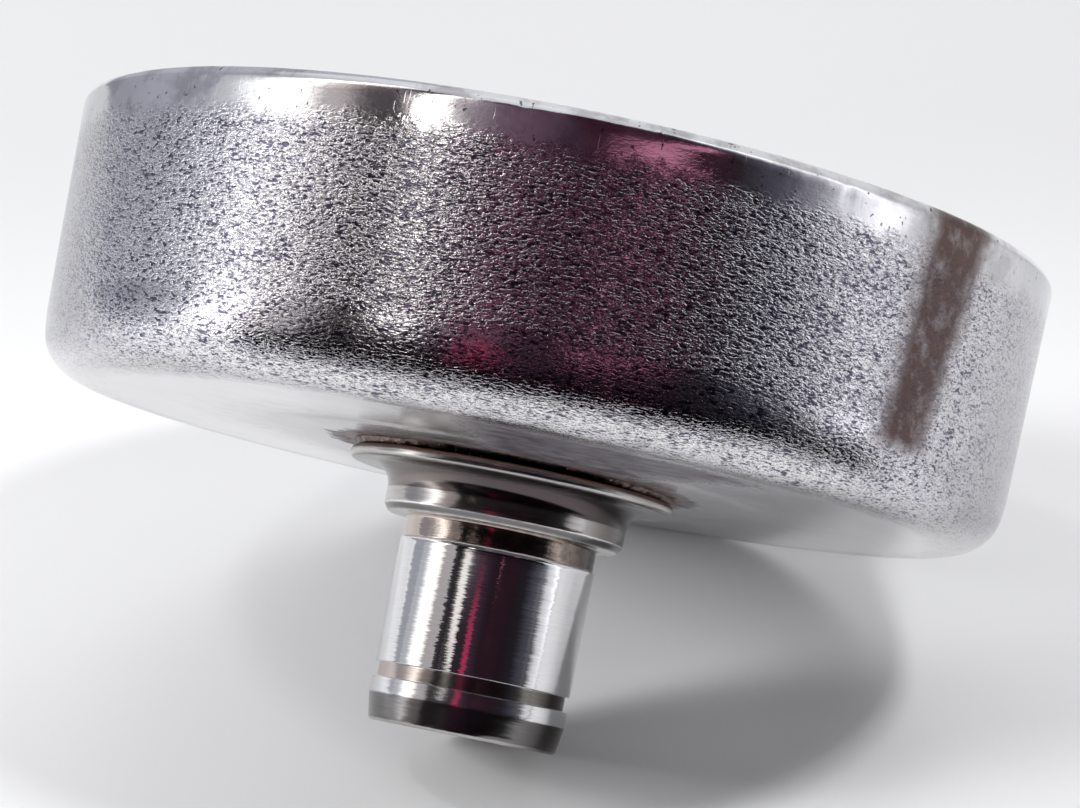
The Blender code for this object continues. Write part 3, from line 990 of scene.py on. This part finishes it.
def makeLamps(normal):
    # they light the floor; the steel shows the room instead
    middle, way = studioFrame(normal)

    def addLamp(name, width, depth, watts, place):
        data = bpy.data.lights.new(name, "AREA")
        data.shape = "RECTANGLE"
        data.size, data.size_y, data.energy = width, depth, watts
        lamp = stand(name, data)
        lamp.matrix_world = place
        lamp.visible_glossy = False
        return lamp

    for name, side, above, width, height, watts in lamps:
        outward = way(side, above)
        sideways = normal.cross(outward).normalized()
        facing = Matrix((sideways, outward.cross(sideways), outward)).transposed().to_4x4()
        addLamp(name, width, height, watts, Matrix.Translation(middle + outward * lampDistance) @ facing)
    angle = math.radians(webBounce["angle"])
    spot = Vector((math.cos(angle), math.sin(angle), 0)) * webBounce["radius"] + Vector((0, 0, padFace + mm))
    bounce = addLamp("webBounce", webBounce["width"], webBounce["depth"], webBounce["watts"],
                     Matrix.Translation(spot) @ Matrix.Rotation(math.pi, 4, "X"))
    bounce.visible_camera = False


room = {
    "distance": 0.6,
    "wallTop": 62,                  # degrees above the floor, where the pale ceiling starts
    "ceiling": (0.75, 0.76, 0.79),
    "around": (  # degrees to the right of the camera, light that comes from there
        (-180, (0.68, 0.69, 0.72)), (-140, (0.68, 0.69, 0.73)), (-105, (0.60, 0.61, 0.64)),
        (-98, (0.58, 0.59, 0.62)), (-94, (0.60, 0.61, 0.64)), (-90, (1.2, 1.2, 1.26)), (-80, (3.2, 3.2, 3.2)),
        (-76, (1.5, 1.45, 1.4)), (-70, (0.70, 0.60, 0.55)), (-64, (0.26, 0.21, 0.20)),
        (-60, (0.07, 0.06, 0.065)), (-50, (0.06, 0.05, 0.06)), (-46, (0.24, 0.21, 0.21)),
        (-43, (1.15, 1.08, 1.03)), (-37, (1.15, 1.08, 1.03)), (-33, (0.50, 0.45, 0.46)),
        (-28, (0.28, 0.23, 0.27)), (-20, (0.16, 0.105, 0.145)), (-10, (0.125, 0.07, 0.105)),
        (0, (0.065, 0.036, 0.06)), (12, (0.045, 0.023, 0.037)), (27, (0.045, 0.024, 0.037)),
        (38, (0.045, 0.036, 0.046)), (43, (0.048, 0.042, 0.055)), (49, (0.05, 0.046, 0.062)),
        (55, (0.10, 0.097, 0.125)), (60, (0.27, 0.27, 0.31)), (66, (0.80, 0.80, 0.84)), (71, (1.05, 1.05, 1.1)),
        (75, (1.5, 1.5, 1.56)), (79, (1.4, 1.4, 1.45)), (84, (0.85, 0.85, 0.88)), (90, (0.70, 0.70, 0.72)),
        (110, (0.66, 0.66, 0.68)), (140, (0.66, 0.67, 0.69)), (180, (0.70, 0.71, 0.74))),
    "shade": (-60, 66, 8, 0.14),    # left, right and top edge of a darker part, and its share of the light
    "halfShade": (-58, 47, 39, 0.4),
    "slot": (-47, -32, 33),         # left, right and low edge of a strip without the half shade
    "tabletop": (0.14, 0.58, -62, 70, (0.012, 0.009, 0.014)),  # dark, before the pale sheet: reach, sides, light
    "cardDistance": 0.57,
    "ownDistance": {"pinkCard": 0.552, "farLeft": 0.22},
    "cards": (  # name, left, right, low and high edge in degrees, light: what stands in front of the walls
        ("crimsonCard", -20, -10, 20, 30, (0.18, 0.017, 0.045)),
        ("crimsonStrip", -19, -12, 30, 37.5, (0.48, 0.04, 0.11)),
        ("darkCard", -33, -21, 18, 37.5, (0.03, 0.022, 0.03)),
        ("darkFoot", -48, -33, 10, 34, (0.045, 0.04, 0.045)),
        ("paleFoot", -72, -58, 5, 37, (0.52, 0.48, 0.49)),
        ("maroonLow", 4, 44, 27, 38, (0.026, 0.011, 0.017)),
        ("maroonCard", 4, 44, 38, 72, (0.048, 0.0165, 0.03)),
        ("pinkCard", 10, 42, 35.0, 39.0, (0.60, 0.23, 0.35)),
        ("windowEdge", -45, -36, 40.3, 60, (4.0, 3.8, 3.65)),
        ("greyHigh", 44, 58, 50, 68, (0.06, 0.056, 0.072)),
        ("duskHigh", -33, 4, 56, 70, (0.10, 0.06, 0.085)),
        ("farLeft", -178, -98, -3, 45, (0.42, 0.43, 0.485)),
    ),
}
flag = {                            # black, before the mouth of the corner, keeps the collar's front dark
    "radius": 46 * mm,
    "low": 19.6 * mm,
    "high": 25.9 * mm,
    "start": -143.0,                # degrees round the drum
    "end": -47.0,
    "light": (0.003, 0.003, 0.003),
}


def makePanel(name, middle, way, distance, columns, rows, light):
    # curved panel that is seen only in the steel; light is a colour, or a function that gives each corner's colour
    spots = [(side, above) for side in columns for above in rows]
    count = len(rows)
    faces = [(i * count + k, i * count + k + 1, (i + 1) * count + k + 1, (i + 1) * count + k)
             for i in range(len(columns) - 1) for k in range(count - 1)]
    mesh = bpy.data.meshes.new(name)
    mesh.from_pydata([middle + way(*spot) * distance for spot in spots], [], faces)
    glow = mesh.color_attributes.new("glow", "FLOAT_COLOR", "POINT")
    colours = [light(*spot) if callable(light) else light for spot in spots]
    glow.data.foreach_set("color", [c for colour in colours for c in (*colour, 1)])
    panel = stand(name, mesh)
    panel.visible_camera = panel.visible_shadow = panel.visible_diffuse = False
    material, shader = newMaterial(name)
    bench["tree"].nodes.remove(shader)
    showSurface(put("Emission", {"Color": put("Attribute", attribute_name="glow").outputs["Color"]}))
    mesh.materials.append(material)


def makeRoom(normal):
    middle, way = studioFrame(normal)
    around = dict(room["around"])
    wallTop = room["wallTop"]
    lowLeft, lowRight, lowTop, lowShare = room["shade"]
    shadeLeft, shadeRight, shadeTop, shadeShare = room["halfShade"]
    slotLeft, slotRight, slotLow = room["slot"]

    def wallLight(side, above):
        if above > wallTop:
            return room["ceiling"]
        share = 1
        inSlot = slotLeft < side < slotRight and above > slotLow
        if shadeLeft < side < shadeRight and above < shadeTop and not inSlot:
            share = shadeShare
        if lowLeft < side < lowRight and above < lowTop:
            share = lowShare
        return tuple(c * share for c in around[side])

    def roundDrum(side, rise):
        a = math.radians(side)
        low, high = flag["low"], flag["high"]
        return Vector((math.cos(a) * flag["radius"], math.sin(a) * flag["radius"], low + (high - low) * rise))

    makePanel("roomWalls", middle, way, room["distance"], list(around),
              (-3, 5, 15, 29, 34, shadeTop - 0.5, shadeTop + 1.5, wallTop, wallTop + 7, 75, 88), wallLight)
    makePanel("flag", Vector(noVector), roundDrum, 1.0, evenly(flag["start"], flag["end"], 24), (0, 1),
              flag["light"])
    near, far, left, right, dark = room["tabletop"]
    onTable = middle - (middle - floorFrame()[0]).dot(normal) * normal + normal * 2 * mm
    makePanel("tabletop", onTable, lambda side, reach: way(side, 0) * reach, 1.0, evenly(left, right, 24),
              evenly(near, far, 10), dark)
    for name, left, right, low, high, light in room["cards"]:
        distance = room["ownDistance"].get(name, room["cardDistance"])
        makePanel(name, middle, way, distance, evenly(left, right, 12), evenly(low, high, 8), light)


def makeWorld():
    world = bpy.data.worlds.new("studio")
    bpy.context.scene.world = world
    world.use_nodes = True
    bench["tree"] = world.node_tree
    world.node_tree.nodes.clear()
    path = put("LightPath")
    seen = most(path.outputs["Is Camera Ray"], path.outputs["Is Transmission Ray"])
    seen = most(seen, path.outputs["Is Glossy Ray"])
    dim = put("Background", {"Color": (1.0, 0.97, 1.0, 1), "Strength": 0.2})
    pale = put("Background", {"Color": (0.80, 0.805, 0.83, 1), "Strength": 1.0})
    mix = put("MixShader", {0: seen, 1: dim.outputs[0], 2: pale.outputs[0]})
    put("OutputWorld", {"Surface": mix.outputs[0]})


def dress(piece, material):
    piece.data.materials.append(material)
    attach(piece, "root")


makeCamera()
floorNormal = makeFloor()
makeLamps(floorNormal)
makeRoom(floorNormal)
makeWorld()
print("camera, floor, lamps and room stand")

makeEffects()
dress(makeBell(), bellSteel())
print("bell turned")
dress(makeHub(), hubSteel())
print("hub turned and broached")
brazeMaterial = brazeCopper()
dress(makeOuterBraze(), brazeMaterial)
dress(makeInnerBraze(), brazeMaterial)
print("braze laid")

bpy.context.scene.view_settings.view_transform = "Standard"
